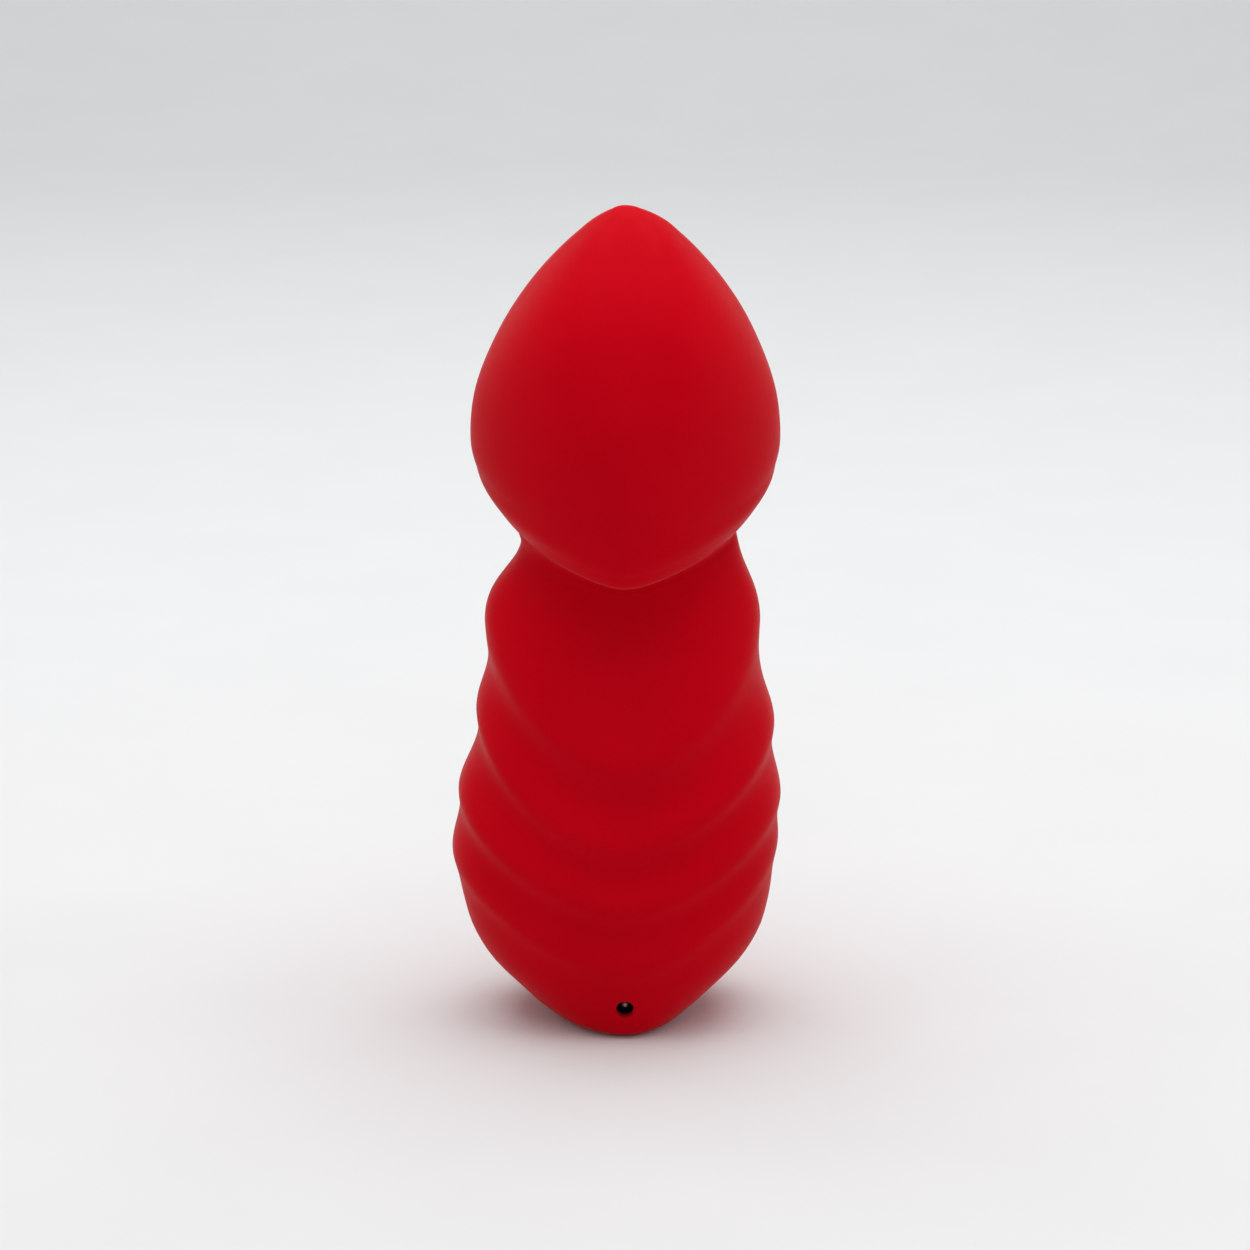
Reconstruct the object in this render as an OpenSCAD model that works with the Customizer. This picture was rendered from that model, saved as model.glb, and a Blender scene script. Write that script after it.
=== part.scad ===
// Handheld vibrating massager with a one-colour silicone skin.
// A pointed egg-shaped head leans slightly forward on a short neck over a wider
// body with U-shaped swags. The foot is a small flat, so it stands on a table.
// +Z is up, -Y is the front and -X is the left. The origin is the centre of the flat foot.

/* [Body] */
// Overall height, foot to tip
total_h = 115.5; // [114:0.5:124]
// Width of the body at its widest station
body_w = 44.5; // [44:0.5:52]
// Depth of the body, front to back
body_d = 36; // [36:0.5:42]
// Forward lean of the body, as height lost per mm towards the front
lean = 0.13; // [0:0.01:0.16]
// Further forward lean of the head
head_lean = 0.12; // [0:0.01:0.13]
// Rise of the chin line towards the sides, per mm
chin_lift = 0.21; // [0:0.01:0.22]
// Roundness exponent of the cross sections
section_n = 2.15; // [2:0.05:2.3]
// How much the head's front is drawn to a soft keel
keel = 0.5; // [0:0.02:0.5]

/* [Swags] */
// Height of every swag above the skin, as a share of the nominal
swag_h = 1; // [0.2:0.1:1.3]
// How far the swags rise from front to side
swag_rise = 14.2; // [10:0.2:15.6]

/* [Skin mesh] */
// Points around each ring of the skin
skin_around = 48; // [32:4:56]
// Distance between rings below the neck
ring_step = 2.1; // [2:0.1:3]

/* [Charging port] */
// Diameter of the hole in the skin
port_d = 2.5; // [2.4:0.1:2.8]
// Height of the port axis above the foot
port_z = 4.8; // [4.2:0.1:4.9]
// Bore of the metal socket barrel
barrel_bore_d = 3; // [2.9:0.1:3.1]
// Outside diameter of the metal socket barrel
barrel_d = 3.8; // [3.7:0.1:3.9]
// Diameter of the centre pin
pin_d = 1; // [0.7:0.1:1.1]

/* [Housing] */
// Wall thickness of the plastic housing
wall = 1.5; // [1.2:0.1:1.6]
// Outside radius of the lower chamber
chamber_r = 13.5; // [13.4:0.1:13.8]
// Outside radius of the neck tube
neck_r = 7.5; // [7.2:0.1:8]
// Outside radius of the motor pod
pod_r = 10.5; // [10.3:0.1:10.8]
// Gap between the skin and the housing
skin_gap = 0.1; // [0.05:0.05:0.15]

/* [Button] */
// Height of the button axis above the foot
button_z = 30; // [29:0.5:32]
// Radius of the moving pad
pad_r = 5.6; // [5:0.1:6]
// Radius of the window round the thin web
window_r = 7.5; // [7.4:0.1:8]

/* [Motor] */
// Radius of the motor can
motor_r = 6; // [5.6:0.1:6]
// Length of the motor can
motor_l = 16; // [14:0.5:16]
// Height of the motor's lower end
motor_z = 77; // [77:0.5:78]
// Radius of the motor shaft
shaft_r = 0.75; // [0.7:0.05:0.8]
// Radius of the eccentric half-disc weight
weight_r = 5.5; // [5:0.1:5.6]
// Length of the eccentric weight along the shaft
weight_l = 6; // [4:0.5:6]

/* [Battery and board] */
// Width of the pouch cell
cell_w = 20; // [18:0.5:20]
// Thickness of the pouch cell
cell_t = 5; // [4:0.5:5]
// Length of the pouch cell
cell_l = 33; // [30:0.5:33.5]
// Width of the circuit board
board_w = 19; // [17:0.5:19]
// Thickness of the circuit board
board_t = 1; // [0.8:0.1:1.2]

/* [Hidden] */
$fn = 64;
overlap = 0.01;
fit_gap = 0.02;
sides = [-1, 1];
thirds = [0, 120, 240];

// size against the nominal design
scale_x = body_w / 44.5;
scale_y = body_d / 36;
scale_z = total_h / 115.5;

skin_red = [0.66, 0.01, 0.08];
housing_white = [0.90, 0.90, 0.88];
chip_black = [0.10, 0.10, 0.11];
lead_red = [0.75, 0.07, 0.06];
lead_black = [0.08, 0.08, 0.09];

// ---- shape of the skin, at the nominal size
// stations: height, then the reach to the left, right, front and back
stations = [
    [0, 6, 5.2, 12.6, 12],
    [0.8, 9.5, 7.7, 13.9, 13.3],
    [2.4, 12.4, 10.1, 14.7, 14.2],
    [5, 15.4, 13.1, 15.4, 15.1],
    [8.5, 19, 16.6, 16.1, 16.2],
    [12.5, 21.5, 19.1, 16.8, 17.2],
    [17, 22.9, 20.4, 17.3, 17.9],
    [22.5, 23.7, 21, 17.7, 18.2],
    [28.5, 23.4, 21.1, 17.7, 18.1],
    [36, 21.8, 20.9, 17.4, 17.7],
    [44, 20, 19.9, 16.9, 17.1],
    [51, 19.1, 18.9, 16.1, 16.4],
    [56, 18.5, 18.2, 14.9, 15.9],
    [60, 17.5, 17.7, 13.4, 15.3],
    [63, 14.8, 16.2, 12.1, 14.7],
    [65.4, 14.4, 15.6, 11.6, 14.2],
    [66.9, 14.9, 15.4, 11.9, 14.1],
    [68.2, 15, 15.9, 14.7, 14.6],
    [69.6, 16.7, 17.5, 17.6, 15.8],
    [72.4, 19.3, 19.8, 19.9, 17.6],
    [77.5, 20.8, 21, 21.1, 18.9],
    [83.3, 21.4, 21.5, 21.8, 19.5],
    [89, 20.9, 21, 21.9, 19.1],
    [95, 18.7, 19, 21.1, 17.3],
    [101, 15.4, 16, 18.8, 14.4],
    [106.5, 11.3, 12.1, 15.2, 10.6],
    [110.8, 7.2, 8.2, 10.6, 6.8],
    [113.2, 4.5, 5.5, 7, 4.3],
    [114.6, 2.3, 2.9, 4, 2.3],
    [115.3, 0.9, 1.1, 1.7, 0.9],
    [115.5, 0, 0, 0, 0]];
// swags: height at the front, rise to the left and to the right, height of the
// crest at the left, centre and right, width above the crest and below it
swags = [
    [50.5, swag_rise - 4.2, swag_rise - 5.2, 0.6, 0.1, 0.25, 4, 3.4],
    [42.6, swag_rise + 0.8, swag_rise + 0.8, 1.05, 1.8, 0.65, 5.2, 3.8],
    [30.2, swag_rise + 1, swag_rise - 1, 1.1, 1.4, 1, 4.2, 2.7],
    [20.6, swag_rise - 1, swag_rise - 2.2, 1.1, 1.4, 0.9, 4, 2.6],
    [11, swag_rise - 0.7, swag_rise + 0.8, 0.75, 0.9, 0.6, 4, 2.8]];

last = len(stations) - 1;
function gap_above(i) = stations[i + 1][0] - stations[i][0];
function slope(i, col) = (stations[i + 1][col] - stations[i][col]) / gap_above(i);
function tangent(i, col) = i == 0 ? slope(0, col)
    : i == last ? slope(last - 1, col)
    : (slope(i - 1, col) * gap_above(i) + slope(i, col) * gap_above(i - 1))
      / (stations[i + 1][0] - stations[i - 1][0]);
function station_below(z, i = 0) =
    (i >= last - 1 || z < stations[i + 1][0]) ? i : station_below(z, i + 1);
// reach at height z in a column of the stations, by a cubic through them
function reach(z, col) =
    let (i = station_below(z), span = gap_above(i), t = (z - stations[i][0]) / span)
    (2*t*t*t - 3*t*t + 1) * stations[i][col] + (t*t*t - 2*t*t + t) * tangent(i, col) * span
    + (-2*t*t*t + 3*t*t) * stations[i + 1][col] + (t*t*t - t*t) * tangent(i + 1, col) * span;

// eases from 0 at x = from to 1 at x = to
function smooth(from, to, x) = let (t = max(0, min(1, (x - from) / (to - from)))) t*t*(3 - 2*t);
function mix(low, high, share) = low + (high - low) * share;
function signed_pow(x, power) = (x < 0 ? -1 : 1) * pow(abs(x), power);

// In what follows, bearing is the angle round from the front, 0 to 180.
// share of its rise that a swag has made at a bearing
function risen(bearing) = bearing < 90 ? pow(abs(sin(bearing)), 1.65) : 1;
// height of one swag above the skin; right_share is 0 at the left side and 1 at the right
function crest(swag, z, bearing, right_share) =
    let (side_h = mix(swag[3], swag[5], right_share),
        height = mix(swag[4], side_h, smooth(0, 1, sin(min(bearing, 90)))),
        above = z - swag[0] - mix(swag[1], swag[2], right_share) * risen(bearing),
        width = above > 0 ? swag[6] : swag[7])
    height * exp(-above * above / (width * width));
// all the swags together: they fade at foot and neck, and the two sides meet
// evenly at the back, where they are lower
function swag_at(z, bearing, right) =
    let (to_middle = 0.5 * smooth(90, 170, bearing),
        right_share = right ? 1 - to_middle : to_middle)
    swag_h * smooth(2, 9, z) * (1 - smooth(62, 68, z)) * (1 - 0.65 * smooth(95, 160, bearing))
    * ([for (swag = swags) crest(swag, z, bearing, right_share)] * [for (swag = swags) 1]);

// forward lean at height z
function tilt(z) = lean * smooth(10, 60, z) + head_lean * smooth(58, 68, z);
// exponent of the section; its front half is sharper low on the head, fuller at the tip
function exponent(z, front) = section_n + (front
    ? 0.35 * smooth(96, 108, z) - keel * smooth(60, 69, z) * (1 - smooth(86, 104, z)) : 0);
// lift of the chin line, x mm from the middle
function chin(z, x) = smooth(58, 66, z) * (1 - smooth(71, 86, z))
    * (0.9 + chin_lift * (sqrt(x * x + 9) - 3));
// one point of the skin: height z and angle, 0 at +X and -90 at the front
function skin_point(z, angle) =
    let (cosine = cos(angle), sine = sin(angle), power = 2 / exponent(z, sine < 0),
        reach_x = reach(z, cosine >= 0 ? 2 : 1),
        reach_y = reach(z, sine >= 0 ? 4 : 3),
        x = signed_pow(cosine, power) * reach_x,
        y = signed_pow(sine, power) * reach_y,
        radius = sqrt(x * x + y * y) + 1e-9,
        bearing = abs(atan2(x / max(reach_x, 1e-6), -y / max(reach_y, 1e-6))),
        grow = 1 + swag_at(z, bearing, cosine >= 0) / radius)
    [scale_x * x * grow, scale_y * y * grow,
        scale_z * (z + tilt(z) * y * grow + chin(z, x * grow))];

// rings follow the swags and are listed by their height at the front
ring_rise = 12.78;
function ring_z(front_z, angle) = front_z
    + ring_rise * smooth(0, 9, front_z) * (1 - smooth(40, 63, front_z))
    * risen(abs(atan2(cos(angle), -sin(angle))));
// evenly spaced heights, the last short of to
function steps(from, to, pitch) =
    let (count = ceil((to - from) / pitch))
    [for (i = [0 : count - 1]) from + (to - from) * i / count];
rings = concat([0, 0.4], steps(1, 63, ring_step), steps(63, 66, 1.5), steps(66, 71, 0.8),
    steps(71, 78, 1.6), steps(78, 112.6, 2.5), [112.6, 113.8, 114.8, 115.3]);

// the whole outer form, closed at foot and tip by fans
module skin_form() {
    around = [0 : skin_around - 1];
    foot = len(rings) * skin_around;
    tip = foot + 1;
    top_ring = foot - skin_around;
    function next(j) = (j + 1) % skin_around;
    points = concat(
        [for (front_z = rings, j = around) let (angle = 360 * j / skin_around)
            skin_point(ring_z(front_z, angle), angle)],
        [[0, 0, 0], [0, 0, total_h]]);
    bands = [for (i = [0 : len(rings) - 2], j = around)
        let (low = i * skin_around, high = low + skin_around)
        for (face = [[low + j, high + j, high + next(j)], [low + j, high + next(j), low + next(j)]])
            face];
    polyhedron(points = points, convexity = 8, faces = concat(bands,
        [for (j = around) [foot, j, next(j)]],
        [for (j = around) [tip, top_ring + next(j), top_ring + j]]));
}

// ---- places shared by the parts inside
chamber_floor_z = 8.5 * scale_z;
chamber_z0 = 13 * scale_z;      // full width from here
chamber_z1 = 54.5 * scale_z;    // and up to here
neck_z0 = 60.5 * scale_z;
neck_z1 = 70 * scale_z;
pod_z0 = 74 * scale_z;          // full width from here
pod_z1 = 96 * scale_z;          // centre of the dome
pod_inner_r = pod_r - wall;
motor_z0 = motor_z * scale_z;
motor_z1 = motor_z0 + motor_l;
nose_r = barrel_d / 2 + 0.7;    // boss round the charging socket
nose_y = -13.3 * scale_y;       // its front face
nose_y1 = -1.2;                 // its rear end
barrel_y1 = nose_y + 8.8;       // rear of the barrel
slot_y1 = -2.0;                 // rear of the slot behind the barrel
cell_z = 17.2 * scale_z;
cell_top = cell_z + cell_l;
cell_y1 = -0.5;                 // rear face of the cell
cell_y0 = cell_y1 - cell_t;
board_z0 = 17.2 * scale_z;
board_z1 = 51 * scale_z;
board_y = 0.9;                  // front face of the board
parts_y = board_y + board_t;    // rear face of the board, where the parts stand
rib_z = 20 * scale_z;           // span of the upright ribs and the foam
rib_h = 28 * scale_z;
led_z = 40 * scale_z;
switch_h = 3.4;
plunger_y1 = parts_y + 4.4;
plunger_r = 1.75;
stem_y0 = plunger_y1 + fit_gap;
stem_r = 1.8;
pad_y = 15.2;                   // rear of the actuator's plate, which carries the pad
guide_r = 1.5;

// screws: distance from the middle and height
screw_places = [[6.3, 14 * scale_z], [7.4, 54.5 * scale_z], [6.0, 73.6 * scale_z]];
screw_r = 0.95;
screw_tip_r = 0.35;
screw_tip_l = 1;
screw_head_r = 1.8;
screw_head_h = 1.2;
screw_y0 = -4;                  // under the head
screw_y1 = 4;                   // point
cross_l = 2.2;
cross_w = 0.4;
cross_depth = 0.7;

// ---- shared shapes
module along_y(x, y0, y1, z, radius) {
    translate([x, y0, z]) rotate([-90, 0, 0]) cylinder(r = radius, h = y1 - y0);
}
module along_screws(y0, y1, radius) {
    for (place = screw_places, side = sides)
        along_y(side * place[0], y0, y1, place[1], radius);
}
module at_height(z) { translate([0, 0, z]) children(); }
module tube(outer_r, inner_r, height) {
    difference() {
        cylinder(r = outer_r, h = height);
        at_height(-1) cylinder(r = inner_r, h = height + 2);
    }
}
// round wire along a list of points
module lead(path, radius) {
    for (i = [0 : len(path) - 2])
        let (run = path[i + 1] - path[i], length = norm(run))
        translate(path[i]) rotate([0, acos(run[2] / length), atan2(run[1], run[0])])
            cylinder(r = radius, h = length);
    for (i = [1 : len(path) - 2]) translate(path[i]) sphere(r = radius);
}

// a turned profile under a half-ball dome centred at pod_z1
module domed(profile, dome_r) {
    rotate_extrude() polygon(profile);
    at_height(pod_z1) rotate_extrude() intersection() {
        circle(r = dome_r);
        square(dome_r + 1);
    }
}
// outside of the housing, grown by grow
module housing_form(grow) {
    domed([[0, chamber_floor_z - grow], [8 + grow, chamber_floor_z - grow],
        [chamber_r + grow, chamber_z0 - grow], [chamber_r + grow, chamber_z1 + grow],
        [neck_r + grow, neck_z0 + grow], [neck_r + grow, neck_z1 - grow],
        [pod_r + grow, pod_z0 - grow], [pod_r + grow, pod_z1], [0, pod_z1]], pod_r + grow);
}
// inside of the housing; inset shifts the corners at the slanted walls
module housing_void() {
    inset = 0.6;
    domed([[0, chamber_floor_z + wall], [8 - inset, chamber_floor_z + wall],
        [chamber_r - wall, chamber_z0 + inset], [chamber_r - wall, chamber_z1 - inset],
        [neck_r - wall, neck_z0 - inset], [neck_r - wall, neck_z1 + inset],
        [pod_inner_r, pod_z0 + inset], [pod_inner_r, pod_z1], [0, pod_z1]], pod_inner_r);
}
// round boss for the socket, with a web up to the chamber floor
module nose_form(grow) {
    web_y = nose_y + 1.3 - grow;
    along_y(0, nose_y - grow, nose_y1 + grow, port_z, nose_r + grow);
    translate([-nose_r - grow, web_y, port_z])
        cube([2 * nose_r + 2 * grow, nose_y1 + grow - web_y, chamber_floor_z + 1 - port_z]);
}
// the half of space on one side of the parting plane y = 0
module half_space(y) { translate([-50, y, -10]) cube([100, 100, 200]); }

// ---- skin and button
module silicone_skin() {
    color(skin_red) difference() {
        skin_form();
        union() {
            housing_form(skin_gap);
            nose_form(skin_gap);
        }
        along_y(0, -30, nose_y, port_z, port_d / 2);
        along_y(0, 8, 40, button_z, window_r);
    }
}
module button_web() {
    color(skin_red) difference() {
        along_y(0, 16.0, 16.6, button_z, window_r - fit_gap);
        along_y(0, 15, 18, button_z, pad_r + fit_gap);
    }
}
module button_pad() {
    color(skin_red) intersection() {
        skin_form();
        along_y(0, pad_y, 30, button_z, pad_r);
    }
}
// plate, stem and collar, each with its front y, length and radius
module button_actuator() {
    discs = [[pad_y - 1, 1, 4.6], [stem_y0, pad_y - stem_y0, stem_r], [10.0, 1, 2.7]];
    color([0.85, 0.85, 0.83]) rotate([-90, 0, 0]) translate([0, -button_z, 0])
        for (disc = discs) at_height(disc[0]) cylinder(r = disc[2], h = disc[1]);
}

// ---- housing
// two rings round the motor
module motor_ribs() {
    for (z = [motor_z0 + 2, motor_z0 + motor_l - 4.5])
        at_height(z) tube(pod_inner_r + 0.5, motor_r + 1.55, 1.5);
}
module front_housing() {
    rib_x = 7.5;
    rib_t = 1.2;
    rib_y0 = -12.5;
    slot_w = 3.8;
    slot_z = port_z - 1.7;
    color(housing_white) difference() {
        union() {
            difference() {
                housing_form(0);
                housing_void();
            }
            nose_form(0);
            intersection() {
                housing_form(0);
                union() {
                    along_screws(-20, 0, 2.8);
                    for (side = sides) translate([side * rib_x - rib_t / 2, rib_y0, rib_z])
                        cube([rib_t, cell_y0 - 0.05 - rib_y0, rib_h]);
                    motor_ribs();
                }
            }
        }
        half_space(0);
        along_screws(-20, 1, 1.1);
        along_screws(-20, screw_y0, screw_head_r + 0.2);
        along_y(0, nose_y - 1, barrel_y1, port_z, barrel_d / 2);
        translate([-slot_w / 2, barrel_y1 - overlap, slot_z])
            cube([slot_w, slot_y1 - barrel_y1 + overlap, chamber_floor_z + wall + 0.5 - slot_z]);
    }
}
module rear_housing() {
    rib_x = 8.7;
    rib_t = 1;
    color(housing_white) difference() {
        union() {
            difference() {
                housing_form(0);
                housing_void();
            }
            intersection() {
                housing_form(0);
                union() {
                    along_screws(0, 20, 2.3);
                    for (side = sides) translate([side * rib_x - rib_t / 2, parts_y + 0.05, rib_z])
                        cube([rib_t, 10, rib_h]);
                    motor_ribs();
                }
            }
        }
        half_space(-100);
        along_screws(-1, screw_y1 + 0.8, 1.0);
        along_y(0, 9, 20, button_z, stem_r + 0.06);
        along_y(0, 9, 20, led_z, guide_r + 0.05);
    }
}
module housing_screws() {
    head_y = screw_y0 - screw_head_h;
    tip_y = screw_y1 - screw_tip_l;
    color([0.72, 0.73, 0.74]) for (place = screw_places, side = sides)
        translate([side * place[0], 0, place[1]]) rotate([-90, 0, 0]) difference() {
            union() {
                at_height(head_y) cylinder(r = screw_head_r, h = screw_head_h);
                at_height(screw_y0 - overlap) cylinder(r = screw_r, h = tip_y - screw_y0 + overlap);
                at_height(tip_y - overlap)
                    cylinder(r1 = screw_r, r2 = screw_tip_r, h = screw_tip_l);
            }
            for (angle = [0, 90]) rotate([0, 0, angle])
                translate([-cross_l / 2, -cross_w / 2, head_y - 1])
                    cube([cross_l, cross_w, 1 + cross_depth]);
        }
}

// ---- board
module circuit_board() {
    color([0.06, 0.28, 0.16]) difference() {
        translate([-board_w / 2, board_y, board_z0]) cube([board_w, board_t, board_z1 - board_z0]);
        for (side = sides) along_y(side * 7.9, 0, 4, board_z1 - 2, 0.75);
    }
}
// a package centred on x, z with a row of feet down each side
module chip(x, z, width, height, depth, feet, pitch) {
    foot = [0.9, 0.35, 0.4];
    translate([x - width / 2, parts_y + 0.1, z - height / 2]) cube([width, depth, height]);
    for (i = [0 : feet - 1], side = sides)
        translate([x + side * (width / 2 + 0.3) - foot[0] / 2, parts_y,
                z + (i - (feet - 1) / 2) * pitch - foot[2] / 2])
            cube(foot);
}
module mcu_chip() {
    color(chip_black) chip(x = -3.2, z = 45 * scale_z, width = 4.0, height = 5.0, depth = 1.4,
        feet = 4, pitch = 1.27);
}
module charge_chip() {
    color(chip_black) chip(x = 0, z = 22.5 * scale_z, width = 2.6, height = 3.0, depth = 1.1,
        feet = 3, pitch = 0.95);
}
module board_passives() {
    size = [1.2, 0.6, 0.9];
    // x and nominal height of each centre
    places = [[-6.2, 21], [-6.2, 23.5], [-6.2, 26], [4.4, 20.8], [4.4, 23.3], [-6, 36], [-4, 36],
        [6.0, 36], [6.0, 39], [-6.8, 41]];
    color([0.68, 0.58, 0.44]) for (place = places)
        translate([place[0] - size[0] / 2, parts_y, place[1] * scale_z - size[2] / 2]) cube(size);
}
module switch_body() {
    width = 6;
    foot = [1.1, 0.4, 0.7];
    color([0.14, 0.14, 0.15]) {
        difference() {
            translate([-width / 2, parts_y, button_z - width / 2]) cube([width, switch_h, width]);
            along_y(0, parts_y + 2.2, parts_y + 5, button_z, plunger_r + 0.05);
        }
        for (x = sides, z = sides)
            translate([x * 3.5 - foot[0] / 2, parts_y, button_z + z * 2.2 - foot[2] / 2])
                cube(foot);
    }
}
module switch_plunger() {
    color([0.80, 0.79, 0.74]) along_y(0, parts_y + 2.6, plunger_y1, button_z, plunger_r);
}
module status_led() {
    base = [1.6, 0.4, 0.8];
    lens = [0.9, 0.35, 0.7];
    color([0.92, 0.92, 0.86]) {
        translate([-base[0] / 2, parts_y, led_z - base[2] / 2]) cube(base);
        translate([-lens[0] / 2, parts_y + base[1], led_z - lens[2] / 2]) cube(lens);
    }
}
module light_guide() {
    color([0.88, 0.90, 0.92]) {
        along_y(0, 3.2, 13.2, led_z, guide_r);
        along_y(0, 9.6, 10.6, led_z, 2.2);
    }
}

// ---- battery
module battery_cell() {
    flat_w = cell_w - cell_t;
    color([0.74, 0.75, 0.77]) at_height(cell_z) linear_extrude(height = cell_l) {
        translate([-cell_w / 2 + cell_t / 2, cell_y0]) square([flat_w, cell_t]);
        for (side = sides) translate([side * flat_w / 2, cell_y0 + cell_t / 2])
            circle(d = cell_t);
    }
}
guard_t = 0.8;                  // thickness of the protection board
guard_top = cell_top + guard_t;
module battery_protection_board() {
    color([0.08, 0.30, 0.18]) {
        translate([-7, cell_y0 + 0.8, cell_top]) cube([14, cell_t - 1.6, guard_t]);
        translate([-3, cell_y0 + 1.4, guard_top]) cube([2.4, 2, 0.7]);
    }
}
module battery_foam() {
    color([0.20, 0.20, 0.22]) translate([-8, cell_y1, rib_z])
        cube([16, board_y - cell_y1, rib_h]);
}
battery_lead_r = 0.42;
lead_r = 0.38;                  // port and motor leads
lead_y = parts_y + battery_lead_r + fit_gap;
lead_end_z = 48.6 * scale_z;    // battery and motor leads end here on the board
// over the top of the board and down its rear
module battery_lead(x, y) {
    bend_z = guard_top + 1.1;
    lead([[x, y, guard_top], [x, y, bend_z], [x, lead_y, bend_z], [x, lead_y, lead_end_z]],
        battery_lead_r);
}
module battery_lead_pos() { color(lead_red) battery_lead(3.4, -2.4); }
module battery_lead_neg() { color(lead_black) battery_lead(-3.4, -4.2); }

// ---- charging socket
pin_tail = 1.2;                 // reach of pin and lug behind the barrel
lug_tail = 1.4;
module jack_barrel() {
    bore_r = barrel_bore_d / 2;
    color([0.78, 0.78, 0.76]) {
        difference() {
            along_y(0, nose_y, barrel_y1, port_z, barrel_d / 2);
            along_y(0, nose_y - 1, barrel_y1 + 1, port_z, bore_r);
        }
        translate([bore_r + 0.05, barrel_y1 - overlap, port_z - 0.5]) cube([0.3, lug_tail, 1]);
    }
}
module jack_insulator() {
    color([0.12, 0.12, 0.13]) difference() {
        along_y(0, barrel_y1 - 1.6, barrel_y1 + 0.2, port_z, barrel_bore_d / 2);
        along_y(0, barrel_y1 - 3, barrel_y1 + 1, port_z, pin_d / 2);
    }
}
module jack_pin() {
    tip_y = nose_y + pin_d / 2;
    color([0.82, 0.80, 0.74]) {
        along_y(0, tip_y, barrel_y1 + pin_tail, port_z, pin_d / 2);
        translate([0, tip_y, port_z]) sphere(r = pin_d / 2);
    }
}
// back from the socket, up through the slot and onto the rear of the board
module port_lead(x, tail) {
    rise_y = slot_y1 - 0.55;
    bend_z = 13 * scale_z;
    lead([[x, barrel_y1 + tail + fit_gap, port_z], [x, rise_y, port_z], [x, rise_y, bend_z],
        [x, lead_y, bend_z], [x, lead_y, 19.4 * scale_z]], lead_r);
}
module port_lead_pos() { color(lead_red) port_lead(0, pin_tail); }
module port_lead_neg() { color(lead_black) port_lead(1.42, lug_tail); }

// ---- motor: the end cap is at the bottom, the weight on top
can_inner_r = motor_r - 0.5;
cap_h = 1.8;
bearing_r = 1.7;
tab_x = 2.6;                    // brush tabs, left and right of the axis
core_z = motor_z0 + 6;
core_h = 6.5;
arm_w = 1.2;
module motor_can() {
    color([0.76, 0.77, 0.78]) difference() {
        union() {
            at_height(motor_z0 + cap_h) cylinder(r = motor_r, h = motor_l - cap_h);
            at_height(motor_z1 - overlap) cylinder(r = 2.5, h = 1.2);
        }
        at_height(motor_z0 + 1) cylinder(r = can_inner_r, h = motor_l - 1.5);
        at_height(motor_z1 - 2) cylinder(r = bearing_r, h = 5);
    }
}
module motor_magnets() {
    inner_r = 4.3;
    span = 130;
    color([0.22, 0.22, 0.24]) for (angle = [0, 180])
        at_height(motor_z0 + 5) rotate([0, 0, angle + (180 - span) / 2])
            rotate_extrude(angle = span)
                translate([inner_r, 0]) square([can_inner_r - inner_r, 8.5]);
}
module motor_end_cap() {
    color([0.93, 0.92, 0.88]) difference() {
        union() {
            at_height(motor_z0) cylinder(r = motor_r, h = cap_h);
            at_height(motor_z0 + cap_h - overlap) cylinder(r = can_inner_r, h = 0.8);
        }
        at_height(motor_z0 + 1.2) cylinder(r = motor_r - 1.1, h = 3);
        at_height(motor_z0 - 1) cylinder(r = bearing_r, h = 5);
        for (side = sides)
            translate([side * tab_x - 0.7, -0.6, motor_z0 - 1]) cube([1.4, 0.55, 3]);
    }
}
// on each side an upright blade, a flat bar and a tab down through the end cap
module motor_brushes() {
    foot_z = motor_z0 + 1.3;
    color([0.80, 0.56, 0.28]) for (side = sides) {
        translate([side * 1.85 - 0.15, -0.5, foot_z]) cube([0.3, 1, 2.6]);
        translate([side * 2.5 - 0.7, -0.5, foot_z]) cube([1.4, 1, 0.3]);
        translate([side * tab_x - 0.6, -0.5, motor_z0 - 0.9]) cube([1.2, 0.35, 2.3]);
    }
}
module bearing(z, height) {
    color([0.72, 0.56, 0.30]) at_height(z) tube(bearing_r, shaft_r + 0.03, height);
}
module front_bearing() { bearing(motor_z1 - 0.9, 2); }
module rear_bearing() { bearing(motor_z0 - 0.1, 1.5); }
module motor_shaft() {
    color([0.80, 0.81, 0.82]) at_height(motor_z0 + 0.1)
        cylinder(r = shaft_r, h = motor_l + 2 + weight_l);
}
// a hub with three arms, each ending in a curved shoe
module rotor_core() {
    shoe_span = 84;
    color([0.45, 0.46, 0.48]) at_height(core_z) difference() {
        union() {
            cylinder(r = 1.7, h = core_h);
            for (angle = thirds) rotate([0, 0, angle]) {
                translate([0, -arm_w / 2, 0]) cube([3.4, arm_w, core_h]);
                rotate([0, 0, -shoe_span / 2]) rotate_extrude(angle = shoe_span)
                    translate([3.3, 0]) square([0.7, core_h]);
            }
        }
        at_height(-1) cylinder(r = shaft_r, h = 10);
    }
}
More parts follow.
